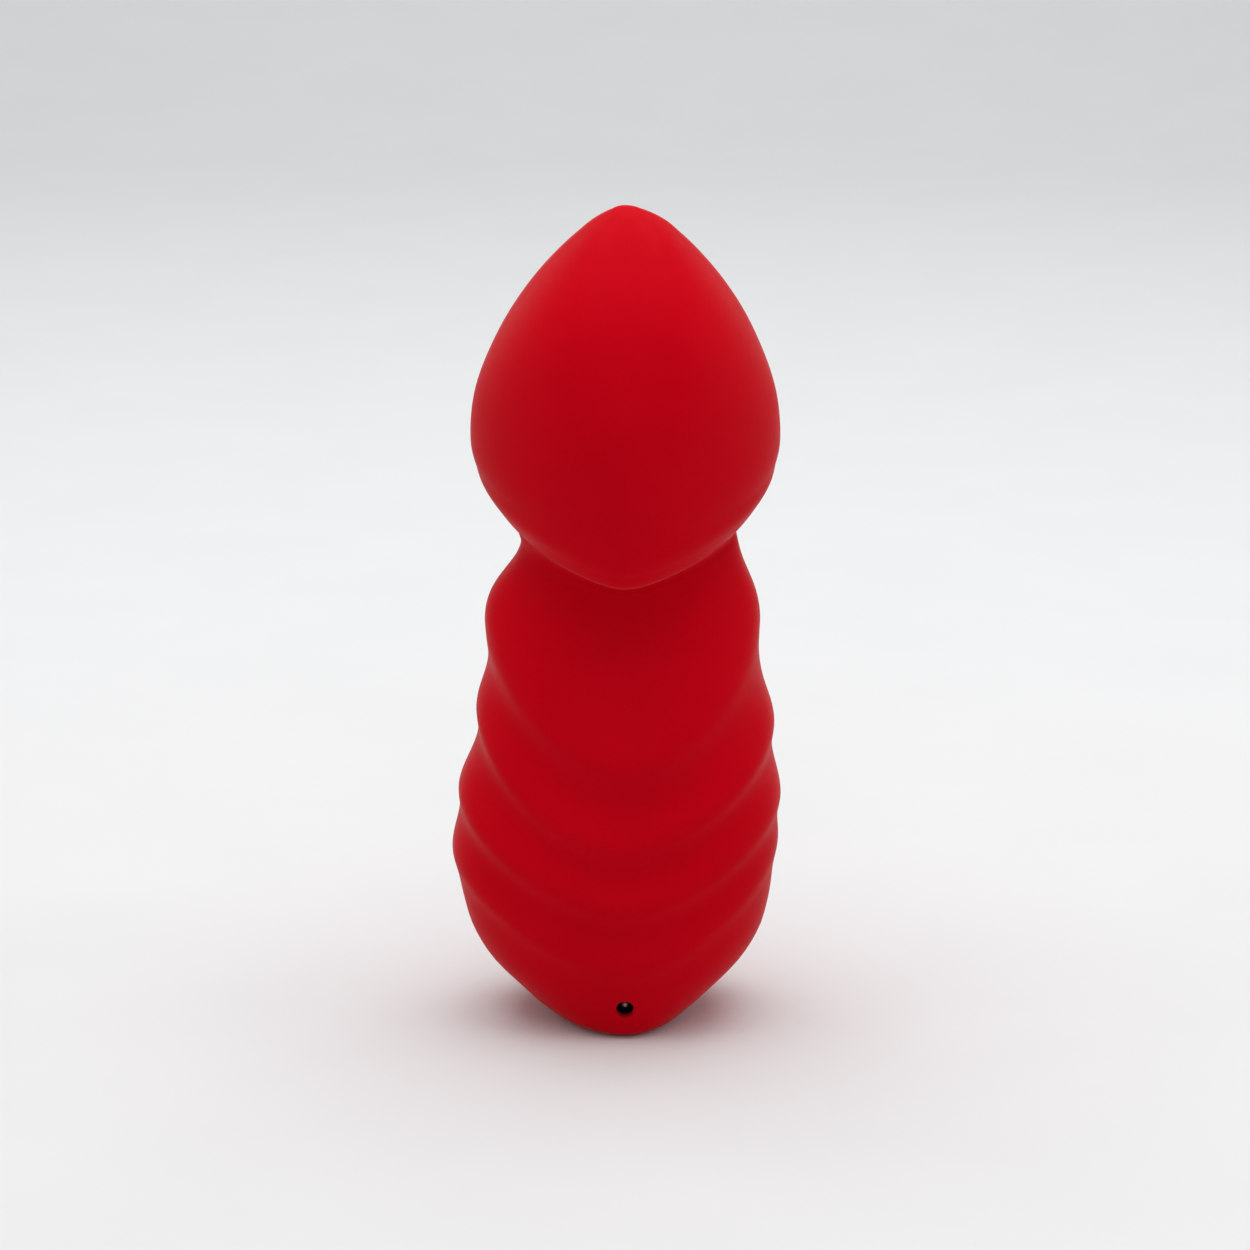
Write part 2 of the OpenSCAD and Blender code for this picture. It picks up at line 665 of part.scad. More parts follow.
// a block round each arm, standing past it above and below
module rotor_windings() {
    past = 0.7;
    color([0.70, 0.34, 0.14]) for (angle = thirds)
        rotate([0, 0, angle]) at_height(core_z - past) difference() {
            translate([1.75, -1.5, 0]) cube([1.15, 3, core_h + 2 * past]);
            translate([1, -arm_w / 2 - fit_gap, past - fit_gap])
                cube([3, arm_w + 2 * fit_gap, core_h + 2 * fit_gap]);
        }
}
module commutator() {
    color([0.75, 0.45, 0.22]) at_height(motor_z0 + 2.1) difference() {
        tube(1.6, shaft_r, 2.6);
        for (angle = thirds) rotate([0, 0, angle + 60])
            translate([1.2, -0.1, -1]) cube([1, 0.2, 5]);
    }
}
module eccentric_weight() {
    color([0.60, 0.60, 0.62]) at_height(motor_z1 + 1.9) difference() {
        union() {
            rotate([0, 0, 180]) rotate_extrude(angle = 180) square([weight_r, weight_l]);
            cylinder(r = 2.2, h = weight_l);
        }
        at_height(-1) cylinder(r = shaft_r, h = weight_l + 2);
    }
}
module motor_sleeve() {
    color([0.13, 0.13, 0.14]) at_height(motor_z0 + 1.2)
        tube(motor_r + 1.5, motor_r + fit_gap, motor_l - 2.4);
}
// down through the neck and onto the rear of the board
module motor_lead(side) {
    x = side * 1.3;
    y = -0.9;
    turn_z = motor_z0 - 1.5;
    bend_z = 58 * scale_z;
    lead([[side * tab_x, y, motor_z0 - 0.3], [side * tab_x, y, turn_z], [x, y, turn_z],
        [x, y, bend_z], [x, lead_y, bend_z], [x, lead_y, lead_end_z]], lead_r);
}
module motor_lead_pos() { color(lead_red) motor_lead(1); }
module motor_lead_neg() { color(lead_black) motor_lead(-1); }

silicone_skin();
button_web();
button_pad();
button_actuator();
front_housing();
rear_housing();
housing_screws();
circuit_board();
mcu_chip();
charge_chip();
board_passives();
switch_body();
switch_plunger();
status_led();
light_guide();
battery_cell();
battery_protection_board();
battery_foam();
battery_lead_pos();
battery_lead_neg();
jack_barrel();
jack_insulator();
jack_pin();
port_lead_pos();
port_lead_neg();
motor_can();
motor_magnets();
motor_end_cap();
motor_brushes();
front_bearing();
rear_bearing();
motor_shaft();
rotor_core();
rotor_windings();
commutator();
eccentric_weight();
motor_sleeve();
motor_lead_pos();
motor_lead_neg();
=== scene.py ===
"""A motor-driven hand piece in a one-piece silicone skin, standing upright along +Z.

The front, with the charging port near the foot, faces -Y; the button is on the back, at +Y.
Left and right are -X and +X. Lengths of the skin and button are in mm, those of the set in metres.
"""
import bpy
import bmesh
import math
import numpy as np
from mathutils import Matrix, Vector


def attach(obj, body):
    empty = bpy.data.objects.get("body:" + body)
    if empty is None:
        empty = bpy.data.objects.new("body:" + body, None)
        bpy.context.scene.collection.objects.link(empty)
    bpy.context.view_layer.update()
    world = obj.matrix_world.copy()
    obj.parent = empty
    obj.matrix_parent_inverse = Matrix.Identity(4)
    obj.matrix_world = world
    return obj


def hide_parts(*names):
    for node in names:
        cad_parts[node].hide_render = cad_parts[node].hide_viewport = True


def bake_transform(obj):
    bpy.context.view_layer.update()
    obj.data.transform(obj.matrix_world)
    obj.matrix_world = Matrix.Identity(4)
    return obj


MM = 0.001
HALF_PI = math.pi / 2

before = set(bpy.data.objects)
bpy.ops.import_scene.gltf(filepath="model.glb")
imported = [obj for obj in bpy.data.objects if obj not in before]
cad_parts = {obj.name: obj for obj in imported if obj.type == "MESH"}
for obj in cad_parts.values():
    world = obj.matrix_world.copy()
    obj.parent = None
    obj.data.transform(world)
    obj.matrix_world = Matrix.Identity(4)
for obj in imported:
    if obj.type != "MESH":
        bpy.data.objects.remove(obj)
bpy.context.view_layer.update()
scene = bpy.context.scene
scene.view_settings.view_transform = "Standard"
scene.view_settings.look = "None"
scene.view_settings.exposure = 0.0
scene.view_settings.gamma = 1.0


# ---------------------------------------------------------------- mesh helpers
def shade_smooth(mesh):
    for face in mesh.polygons:
        face.use_smooth = True


def new_mesh(name, verts, faces):
    """Smooth-shaded object from vertices in metres."""
    mesh = bpy.data.meshes.new(name)
    mesh.from_pydata([tuple(v) for v in verts], [], faces)
    mesh.validate()
    mesh.update()
    made = bpy.data.objects.new(name, mesh)
    scene.collection.objects.link(made)
    shade_smooth(mesh)
    return made


def set_material(target, material):
    target.data.materials.clear()
    target.data.materials.append(material)


def cut(target, *cutters):
    """Subtract the cutters in turn, apply the result and remove them."""
    for cutter in cutters:
        modifier = target.modifiers.new("cut", "BOOLEAN")
        modifier.operation = "DIFFERENCE"
        modifier.solver = "EXACT"
        modifier.object = cutter
    bpy.context.view_layer.update()
    graph = bpy.context.evaluated_depsgraph_get()
    mesh = bpy.data.meshes.new_from_object(target.evaluated_get(graph), depsgraph=graph)
    target.modifiers.clear()
    spent = [target.data] + [cutter.data for cutter in cutters]
    target.data = mesh
    for cutter in cutters:
        bpy.data.objects.remove(cutter)
    for old in spent:
        bpy.data.meshes.remove(old)


def loft(rings):
    """Closed tube through rings of shape (rings, points, 3), each end capped by a fan."""
    ring_count, n = rings.shape[:2]
    verts = rings.reshape(-1, 3).tolist()
    faces = []
    for i in range(ring_count - 1):
        for j in range(n):
            k = (j + 1) % n
            faces.append((i * n + j, i * n + k, (i + 1) * n + k, (i + 1) * n + j))
    low = len(verts)
    high = low + 1
    last = (ring_count - 1) * n
    verts += [rings[0].mean(0).tolist(), rings[-1].mean(0).tolist()]
    faces += [(low, (j + 1) % n, j) for j in range(n)]
    faces += [(high, last + j, last + (j + 1) % n) for j in range(n)]
    return verts, faces


def revolve(profile, segments, origin=(0, 0, 0), along_y=False):
    """Turn a profile of (radius, height) in mm, low to high, about +Z or +Y."""
    angles = np.arange(segments) * 2 * math.pi / segments
    rings = np.array([[(radius * MM * math.cos(a), radius * MM * math.sin(a), height * MM)
                       for a in angles] for radius, height in profile])
    if along_y:
        rings = np.stack([rings[..., 0], rings[..., 2], -rings[..., 1]], -1)
    return loft(rings + np.array(origin) * MM)


# ---------------------------------------------------------------- outer form of the skin, in mm
# height parameter, then the reach from the axis to the left, right, front and back
STATIONS = np.array([
    [0, 6, 5.2, 12.6, 12], [0.8, 9.5, 7.7, 13.9, 13.3],
    [2.4, 12.4, 10.1, 14.7, 14.2], [5, 15.4, 13.1, 15.4, 15.1],
    [8.5, 19, 16.6, 16.1, 16.2], [12.5, 21.5, 19.1, 16.8, 17.2],
    [17, 22.9, 20.4, 17.3, 17.9], [22.5, 23.7, 21, 17.7, 18.2],
    [28.5, 23.4, 21.1, 17.7, 18.1], [36, 21.8, 20.9, 17.4, 17.7],
    [44, 20, 19.9, 16.9, 17.1], [51, 19.1, 18.9, 16.1, 16.4],
    [56, 18.5, 18.2, 14.9, 15.9], [60, 17.5, 17.7, 13.4, 15.3],
    [63, 14.8, 16.2, 12.1, 14.7], [65.4, 14.4, 15.6, 11.6, 14.2],
    [66.9, 14.9, 15.4, 11.9, 14.1], [68.2, 15, 15.9, 14.7, 14.6],
    [69.6, 16.7, 17.5, 17.6, 15.8], [72.4, 19.3, 19.8, 19.9, 17.6],
    [77.5, 20.8, 21, 21.1, 18.9], [83.3, 21.4, 21.5, 21.8, 19.5],
    [89, 20.9, 21, 21.9, 19.1], [95, 18.7, 19, 21.1, 17.3],
    [101, 15.4, 16, 18.8, 14.4], [106.5, 11.3, 12.1, 15.2, 10.6],
    [110.8, 7.2, 8.2, 10.6, 6.8], [113.2, 4.5, 5.5, 7, 4.3],
    [114.6, 2.3, 2.9, 4, 2.3], [115.3, 0.9, 1.1, 1.7, 0.9],
    [115.5, 0, 0, 0, 0]])
# Ridges that hang low at the front: height at the front, rise to the left and right,
# crest at the left, centre and right, width above and below the crest
SWAGS = [(50.5, 10, 9, 0.6, 0.1, 0.25, 4, 3.4),
         (42.6, 15, 15, 1.05, 1.8, 0.65, 5.2, 3.8),
         (30.2, 15.2, 13.2, 1.1, 1.4, 1, 4.2, 2.7),
         (20.6, 13.2, 12, 1.1, 1.4, 0.9, 4, 2.6),
         (11, 13.5, 15, 0.75, 0.9, 0.6, 4, 2.8)]
RISE_POWER = 1.65                                    # how late the swags climb towards the sides
SWAG_BLEND = (math.radians(90), math.radians(170))   # left and right swags merge over these turns
SWAG_FADE = (math.radians(95), math.radians(160))    # and sink here
SWAG_FADE_DEPTH = 0.65
# Bands of the height parameter: grow from, full at, shrink from, gone at
SWAG_BAND = (2.0, 9.0, 62, 68)
KEEL_BAND = (60, 69, 86, 104)
CHIN_BAND = (58, 66, 71, 86)
LIFT_BAND = (0, 9, 40, 63)
SECTION_POWER = 2.15                    # superellipse power of the cross section
CROWN_POWER, CROWN = 0.35, (96, 108)    # added at the front, over these heights
KEEL_POWER = 0.5                        # taken off at the front, in KEEL_BAND
BODY_LEAN, BODY = 0.13, (10, 60)        # rise of z per mm of y, over these heights
HEAD_LEAN, NECK = 0.12, (58, 68)
# Lift in CHIN_BAND: base, gain away from the middle, half width of the rounded middle
CHIN_BASE, CHIN_GAIN, CHIN_ROUND = 0.9, 0.21, 3
GRID_LIFT = 12.78                       # how far mesh rows follow the swags
SKIN_SEGMENTS = 336
# Newton search: rough radius for the first guess, steps, probe, largest move in height and angle
GUESS_R, NEWTON_STEPS, PROBE, MAX_RISE, MAX_TURN = 22, 14, 1e-4, 2, 0.2
FRONT, BACK = -1, 1


def ease(low, high, x):
    t = np.clip((x - low) / (high - low), 0, 1)
    return t * t * (3 - 2 * t)


def band(x, grow, full, shrink, gone):
    return ease(grow, full, x) * (1 - ease(shrink, gone, x))


def hermite(knots, values, z):
    """Smooth curve through the values at uneven knots."""
    z = np.clip(z, knots[0], knots[-1])
    i = np.clip(np.searchsorted(knots, z, side="right") - 1, 0, len(knots) - 2)
    gaps = knots[1:] - knots[:-1]
    steps = (values[1:] - values[:-1]) / gaps
    slopes = np.zeros(len(knots))
    slopes[1:-1] = (steps[:-1] * gaps[1:] + steps[1:] * gaps[:-1]) / (gaps[1:] + gaps[:-1])
    slopes[0], slopes[-1] = steps[0], steps[-1]
    gap = gaps[i]
    t = (z - knots[i]) / gap
    start, end = values[i], values[i + 1]
    leave, arrive = slopes[i] * gap, slopes[i + 1] * gap
    return ((2*t**3 - 3*t**2 + 1) * start + (t**3 - 2*t**2 + t) * leave
            + (-2*t**3 + 3*t**2) * end + (t**3 - t**2) * arrive)


def rise_share(turn, sideways):
    """Share of the full swag rise: grows from the front to the sides, then stays."""
    return np.where(turn < HALF_PI, np.abs(sideways) ** RISE_POWER, 1.0)


def swag_height(z, turn, right):
    """Height of the ridges; turn is the angle away from the front, 0 to pi."""
    share = rise_share(turn, np.sin(turn))
    blend = 0.5 * ease(*SWAG_BLEND, turn)
    rightness = np.where(right, 1 - blend, blend)
    sideways = ease(0, 1, np.sin(np.minimum(turn, HALF_PI)))
    total = 0
    for front_z, rise_l, rise_r, crest_l, crest_mid, crest_r, above, below in SWAGS:
        side = crest_l + (crest_r - crest_l) * rightness
        crest = crest_mid + (side - crest_mid) * sideways
        offset = z - front_z - (rise_l + (rise_r - rise_l) * rightness) * share
        width = np.where(offset > 0, above, below)
        total = total + crest * np.exp(-(offset / width) ** 2)
    fade = 1 - SWAG_FADE_DEPTH * ease(*SWAG_FADE, turn)
    return total * fade * band(z, *SWAG_BAND)


def skin_point(z, angle):
    """x, y, z on the skin for a height parameter and an angle (0 is +X, -90 degrees the front)."""
    c, s = np.cos(angle), np.sin(angle)
    left, right, front, back = [hermite(STATIONS[:, 0], STATIONS[:, k], z) for k in (1, 2, 3, 4)]
    reach_x = np.where(c >= 0, right, left)
    reach_y = np.where(s >= 0, back, front)
    front_power = CROWN_POWER * ease(*CROWN, z) - KEEL_POWER * band(z, *KEEL_BAND)
    power = SECTION_POWER + np.where(s < 0, front_power, 0)
    x = np.sign(c) * np.abs(c) ** (2 / power) * reach_x
    y = np.sign(s) * np.abs(s) ** (2 / power) * reach_y
    radius = np.sqrt(x * x + y * y) + 1e-9
    turn = np.abs(np.arctan2(x / np.maximum(reach_x, 1e-6), -y / np.maximum(reach_y, 1e-6)))
    swell = 1 + swag_height(z, turn, c >= 0) / radius
    x, y = x * swell, y * swell
    lean = BODY_LEAN * ease(*BODY, z) + HEAD_LEAN * ease(*NECK, z)
    chin = band(z, *CHIN_BAND) * (
        CHIN_BASE + CHIN_GAIN * (np.sqrt(x * x + CHIN_ROUND ** 2) - CHIN_ROUND))
    return x, y, z + lean * y + chin


def skin_y(x, z, side):
    """y of the skin at places (x, z), on the FRONT or BACK side, by Newton steps."""
    x, z = np.asarray(x, float), np.asarray(z, float)
    angle = side * (HALF_PI - x / GUESS_R)
    height = z
    for _ in range(NEWTON_STEPS):
        x0, _y, z0 = skin_point(height, angle)
        xh, _y, zh = skin_point(height + PROBE, angle)
        xa, _y, za = skin_point(height, angle + PROBE)
        dx_dh, dz_dh = (xh - x0) / PROBE, (zh - z0) / PROBE
        dx_da, dz_da = (xa - x0) / PROBE, (za - z0) / PROBE
        det = dx_dh * dz_da - dx_da * dz_dh
        miss_x, miss_z = x - x0, z - z0
        rise = (miss_x * dz_da - dx_da * miss_z) / det
        turn = (dx_dh * miss_z - dz_dh * miss_x) / det
        height = height + np.clip(rise, -MAX_RISE, MAX_RISE)
        angle = angle + np.clip(turn, -MAX_TURN, MAX_TURN)
    return skin_point(height, angle)[1]


def skin_grid():
    """Rings of the skin in metres, closer at the foot, neck and crown."""
    rows = np.concatenate([
        np.array([0, 0.12, 0.3, 0.55, 0.85, 1.2]),
        np.arange(1.6, 62.0, 0.38),
        np.arange(62.0, 73.0, 0.2),
        np.arange(73.0, 111.5, 0.42),
        115.5 - 4.0 * (1 - np.linspace(0.0, 0.96, 12)) ** 1.6])
    columns = np.arange(SKIN_SEGMENTS) * 2 * math.pi / SKIN_SEGMENTS
    row, angle = np.meshgrid(rows, columns, indexing="ij")
    turn = np.abs(np.arctan2(np.cos(angle), -np.sin(angle)))
    height = row + GRID_LIFT * band(row, *LIFT_BAND) * rise_share(turn, np.cos(angle))
    return np.stack(skin_point(height, angle), -1) * MM


# ---------------------------------------------------------------- materials
def srgb(red, green, blue):
    """sRGB 0-255 to linear RGBA."""
    def linear(value):
        value = value / 255
        return value / 12.92 if value <= 0.04045 else ((value + 0.055) / 1.055) ** 2.4
    return (linear(red), linear(green), linear(blue), 1.0)


def scaled(colour, factor):
    return tuple(v * factor for v in colour[:3]) + (1,)


class Shader:
    """A material with one Principled shader, textured by world position."""

    def __init__(self, name):
        self.material = bpy.data.materials.new(name)
        self.material.use_nodes = True
        self.tree = self.material.node_tree
        self.tree.nodes.clear()
        output = self.node("OutputMaterial")
        self.principled = self.node("BsdfPrincipled")
        self.feed(output, {0: self.principled.outputs[0]})
        self.position = self.node("NewGeometry").outputs["Position"]

    def feed(self, node, values):
        """Link the sockets and set the plain values."""
        for key, value in values.items():
            if isinstance(value, bpy.types.NodeSocket):
                self.tree.links.new(value, node.inputs[key])
            else:
                node.inputs[key].default_value = value

    def paint(self, values):
        self.feed(self.principled, values)

    def node(self, kind, values=None, **settings):
        made = self.tree.nodes.new("ShaderNode" + kind)
        for key, value in settings.items():
            setattr(made, key, value)
        self.feed(made, values or {})
        return made

    def noise(self, scale, detail=3.0, roughness=0.5, at=None):
        return self.node("TexNoise", {
            "Vector": at or self.position, "Scale": scale, "Detail": detail,
            "Roughness": roughness}).outputs["Fac"]

    def remap(self, value, low, high, source=(0.3, 0.7)):
        values = {0: value, 1: source[0], 2: source[1], 3: low, 4: high}
        return self.node("MapRange", values).outputs[0]

    def mottle(self, scale, low, high, detail=3.0):
        """Noise spread between two values."""
        return self.remap(self.noise(scale, detail), low, high)

    def mix(self, factor, first, second):
        # sockets 6, 7 and output 2 are the colour ones
        return self.node("Mix", {0: factor, 6: first, 7: second}, data_type="RGBA").outputs[2]

    def ramp(self, value, stops):
        made = self.node("ValToRGB", {0: value})
        elements = made.color_ramp.elements
        elements[0].position, elements[0].color = stops[0]
        elements[1].position, elements[1].color = stops[-1]
        for place, colour in stops[1:-1]:
            elements.new(place).color = colour
        return made.outputs[0]

    def bump(self, height, strength, distance):
        values = {"Strength": strength, "Distance": distance, "Height": height}
        self.paint({"Normal": self.node("Bump", values).outputs[0]})


def silicone(name):
    """Slow red mottling, pale grain, and a sheen at grazing angles."""
    s = Shader(name)
    base = s.mix(s.mottle(60, low=0, high=1, detail=2),
                 (0.645, 0.0002, 0.0078, 1), (0.685, 0.0003, 0.0090, 1))
    grain = s.noise(scale=4200, detail=2, roughness=0.6)
    dust = s.remap(grain, low=0, high=0.22, source=(0.30, 0.80))
    s.paint({"Base Color": s.mix(dust, base, (0.80, 0.004, 0.018, 1)),
             "Roughness": s.mottle(900, low=0.36, high=0.46),
             "IOR": 1.41,
             "Specular IOR Level": 0.02,
             "Sheen Weight": 0.14,
             "Sheen Roughness": 0.36,
             "Sheen Tint": (1.0, 0.58, 0.56, 1)})
    s.bump(grain, strength=0.20, distance=0.00004)
    return s.material


def plastic(name, colour, roughness, grain, depth, variation):
    s = Shader(name)
    patches = s.mottle(120, low=0, high=1, detail=2)
    s.paint({"Base Color": s.mix(patches, scaled(colour, 1 - variation), colour),
             "Roughness": s.mottle(700, low=roughness - 0.06, high=roughness + 0.06)})
    s.bump(s.noise(grain, roughness=0.6), strength=0.35, distance=depth)
    return s.material


def metal(name, colour, roughness, stretch, depth):
    s = Shader(name)
    stretched = s.node("Mapping", {"Scale": stretch, "Vector": s.position}).outputs[0]
    streaks = s.noise(scale=900, detail=4, roughness=0.6, at=stretched)
    tone = s.remap(streaks, low=0, high=1, source=(0.35, 0.65))
    s.paint({"Base Color": s.mix(tone, scaled(colour, 0.82), colour),
             "Roughness": s.remap(streaks, low=roughness - 0.08, high=roughness + 0.1),
             "Metallic": 1.0})
    s.bump(streaks, strength=0.25, distance=depth)
    return s.material


def board_mask(name):
    """Green mask with a brick pattern of paler lines, laid in the XZ plane."""
    s = Shader(name)
    squeezed = s.node("Mapping", {"Scale": (1, 0.05, 1), "Vector": s.position}).outputs[0]
    turned = s.node("Mapping", {"Rotation": (HALF_PI, 0, 0), "Vector": squeezed}).outputs[0]
    lines = s.node("TexBrick", {
        "Scale": 260.0, "Color1": (0, 0, 0, 1), "Color2": (0.35, 0.35, 0.35, 1),
        "Mortar": (1, 1, 1, 1), "Mortar Size": 0.02, "Vector": turned}).outputs["Color"]
    s.paint({"Base Color": s.mix(lines, (0.006, 0.060, 0.022, 1), (0.020, 0.17, 0.065, 1)),
             "Roughness": s.mottle(800, low=0.25, high=0.36, detail=2)})
    s.bump(lines, strength=0.3, distance=0.00003)
    return s.material


def acrylic(name):
    s = Shader(name)
    s.paint({"Base Color": s.mix(s.noise(200), (0.90, 0.94, 0.96, 1), (0.98, 0.99, 1, 1)),
             "Roughness": s.mottle(900, low=0.05, high=0.12),
             "Transmission Weight": 0.9,
             "IOR": 1.49})
    return s.material


def foil(name):
    s = Shader(name)
    wrinkles = s.noise(scale=160, detail=3, roughness=0.55)
    s.paint({"Base Color": s.mix(wrinkles, (0.50, 0.51, 0.53, 1), (0.66, 0.67, 0.69, 1)),
             "Roughness": s.mottle(1400, low=0.30, high=0.45),
             "Metallic": 0.85})
    s.bump(wrinkles, strength=0.5, distance=0.0002)
    return s.material


def foam(name):
    s = Shader(name)
    cells = s.node("TexVoronoi", {"Scale": 2200.0, "Vector": s.position}).outputs["Distance"]
    stops = [(0.0, (0.010, 0.010, 0.012, 1)), (0.6, (0.07, 0.07, 0.075, 1))]
    s.paint({"Base Color": s.ramp(cells, stops), "Roughness": 0.95})
    s.bump(cells, strength=0.8, distance=0.0003)
    return s.material


def layered_metal(name, wave, stops, roughness, strength, distance):
    """Metal in thin layers along Z."""
    s = Shader(name)
    layers = s.node("TexWave", {**wave, "Vector": s.position}, bands_direction="Z").outputs["Fac"]
    s.paint({"Base Color": s.ramp(layers, stops), "Metallic": 0.9, "Roughness": roughness})
    s.bump(layers, strength, distance)
    return s.material


def windings(name):
    return layered_metal(
        name, wave={"Scale": 1400.0, "Distortion": 0.6},
        stops=[(0.0, (0.16, 0.035, 0.010, 1)), (1.0, (0.60, 0.19, 0.06, 1))],
        roughness=0.35, strength=0.9, distance=0.0001)


def laminations(name):
    return layered_metal(
        name, wave={"Scale": 500.0},
        stops=[(0.0, (0.08, 0.08, 0.085, 1)), (0.25, (0.30, 0.31, 0.32, 1)),
               (1.0, (0.36, 0.37, 0.38, 1))],
        roughness=0.4, strength=0.5, distance=0.00004)


# colour, roughness, grain scale, grain depth in metres, share of darkening in patches
PLASTICS = {
    "housing_white": (srgb(226, 226, 220), 0.48, 3200, 0.00002, 0.05),
    "white_plastic": (srgb(222, 220, 210), 0.42, 3000, 0.00001, 0.05),
    "chip_epoxy": (srgb(38, 38, 40), 0.55, 5000, 0.00001, 0.2),
    "black_plastic": (srgb(34, 34, 36), 0.45, 3500, 0.00001, 0.15),
    "passive_ceramic": (srgb(160, 132, 96), 0.5, 3000, 0.00001, 0.25),
    "led_lens": (srgb(238, 236, 214), 0.2, 2000, 0.000005, 0.05),
    "lead_insulation_red": (srgb(178, 22, 20), 0.38, 2400, 0.00001, 0.12),
    "lead_insulation_black": (srgb(26, 26, 28), 0.38, 2400, 0.00001, 0.12),
    "sleeve_rubber": (srgb(40, 40, 42), 0.75, 1800, 0.00005, 0.15)}
# colour, roughness, texture scale along x, y and z, streak depth in metres
METALS = {
    "pin_nickel_matte": (srgb(214, 210, 206), 0.55, (1, 1, 1), 0.00001),
    "screw_zinc": (srgb(190, 192, 196), 0.32, (1, 25, 1), 0.00001),
    "plated_nickel": (srgb(206, 206, 200), 0.22, (1, 1, 12), 0.00001),
    "shaft_ground": (srgb(208, 210, 212), 0.18, (1, 1, 60), 0.00001),
    "bearing_bronze": (srgb(176, 134, 76), 0.42, (4, 4, 4), 0.00003),
    "contact_copper": (srgb(200, 128, 78), 0.3, (1, 1, 20), 0.00001),
    "magnet_sintered": (srgb(74, 74, 80), 0.5, (6, 6, 6), 0.00004),
    "weight_sintered": (srgb(150, 150, 154), 0.45, (5, 5, 5), 0.00004)}
OTHERS = {
    "board_mask": board_mask, "light_guide_acrylic": acrylic, "cell_foil": foil,
    "foam_open_cell": foam, "winding_wire": windings, "rotor_laminations": laminations}
# material, then the CAD pieces that wear it
PIECES = {
    "housing_white": ("front_housing", "rear_housing"),
    "white_plastic": ("button_actuator", "switch_plunger", "motor_end_cap"),
    "chip_epoxy": ("mcu_chip", "charge_chip"),
    "black_plastic": ("switch_body", "jack_insulator"),
    "passive_ceramic": ("board_passives",),
    "led_lens": ("status_led",),
    "lead_insulation_red": ("battery_lead_pos", "port_lead_pos", "motor_lead_pos"),
    "lead_insulation_black": ("battery_lead_neg", "port_lead_neg", "motor_lead_neg"),
    "sleeve_rubber": ("motor_sleeve",),
    "pin_nickel_matte": ("jack_pin",),
    "screw_zinc": ("housing_screws",),
    "plated_nickel": ("jack_barrel", "motor_can"),
    "shaft_ground": ("motor_shaft",),
    "bearing_bronze": ("front_bearing", "rear_bearing"),
    "contact_copper": ("motor_brushes", "commutator"),
    "magnet_sintered": ("motor_magnets",),
    "weight_sintered": ("eccentric_weight",),
    "board_mask": ("circuit_board", "battery_protection_board"),
    "light_guide_acrylic": ("light_guide",),
    "cell_foil": ("battery_cell",),
    "foam_open_cell": ("battery_foam",),
    "winding_wire": ("rotor_windings",),
    "rotor_laminations": ("rotor_core",)}

skin_red = silicone("silicone_red")
materials = {name: plastic(name, *look) for name, look in PLASTICS.items()}
materials |= {name: metal(name, *look) for name, look in METALS.items()}
materials |= {name: build(name) for name, build in OTHERS.items()}
for name, pieces in PIECES.items():
    for piece in pieces:
        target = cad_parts[piece]
        set_material(target, materials[name])
        target.data.update()

# ---------------------------------------------------------------- skin shell, in mm
GAP = 0.1                            # adhesive gap round the housing
TIP_R = 0.01                         # profiles stop just short of the axis
BODY_R, NECK_R, HEAD_R = 13.5 + GAP, 7.5 + GAP, 10.5 + GAP
DOME_Z = 96                          # centre of the round top of the cavity
PORT_Z, PORT_R = 4.8, 1.25
NOSE_Y, NOSE_R = -13.3, 2.6 + GAP    # front end and radius of the housing round the port
BLOCK_Y, BLOCK_TOP = -12.0 - GAP, 9.6
NOSE_BACK_Y = -1.0
LIP_R = 0.42                         # rounding of the port's edge
LIP_SINK = 0.02
BUTTON_Z, PAD_R, WINDOW_R = 30.0, 5.6, 7.5


def cavity_cutter():
    """Room for the housing: body, neck and round head."""
    dome = [(HEAD_R * math.cos(a), DOME_Z + HEAD_R * math.sin(a))
            for a in np.linspace(0.06, HALF_PI, 22)[:-1]]
    profile = [(TIP_R, 8.5 - GAP), (8 + GAP, 8.5 - GAP), (BODY_R, 13 - GAP), (BODY_R, 54.5 + GAP),
               (NECK_R, 60.5 + GAP), (NECK_R, 70 - GAP), (HEAD_R, 74 - GAP), (HEAD_R, DOME_Z),
               *dome, (TIP_R, DOME_Z + HEAD_R)]
    return new_mesh("cavity", *revolve(profile, 128))


def tube_cutter(name, radius, y_start, y_end, z, segments):
    """Cylinder along Y."""
    profile = [(radius, y_start), (radius, y_end)]
    return new_mesh(name, *revolve(profile, segments, (0, 0, z), along_y=True))


def block_cutter():
    """Box from the middle of the nose up into the cavity."""
    corners = [(-NOSE_R, BLOCK_Y), (NOSE_R, BLOCK_Y), (NOSE_R, NOSE_BACK_Y), (-NOSE_R, NOSE_BACK_Y)]
    verts = [(x * MM, y * MM, z * MM) for z in (PORT_Z, BLOCK_TOP) for x, y in corners]
    faces = [(0, 3, 2, 1), (4, 5, 6, 7), (0, 1, 5, 4), (1, 2, 6, 5), (2, 3, 7, 6), (3, 0, 4, 7)]
    return new_mesh("block", verts, faces)


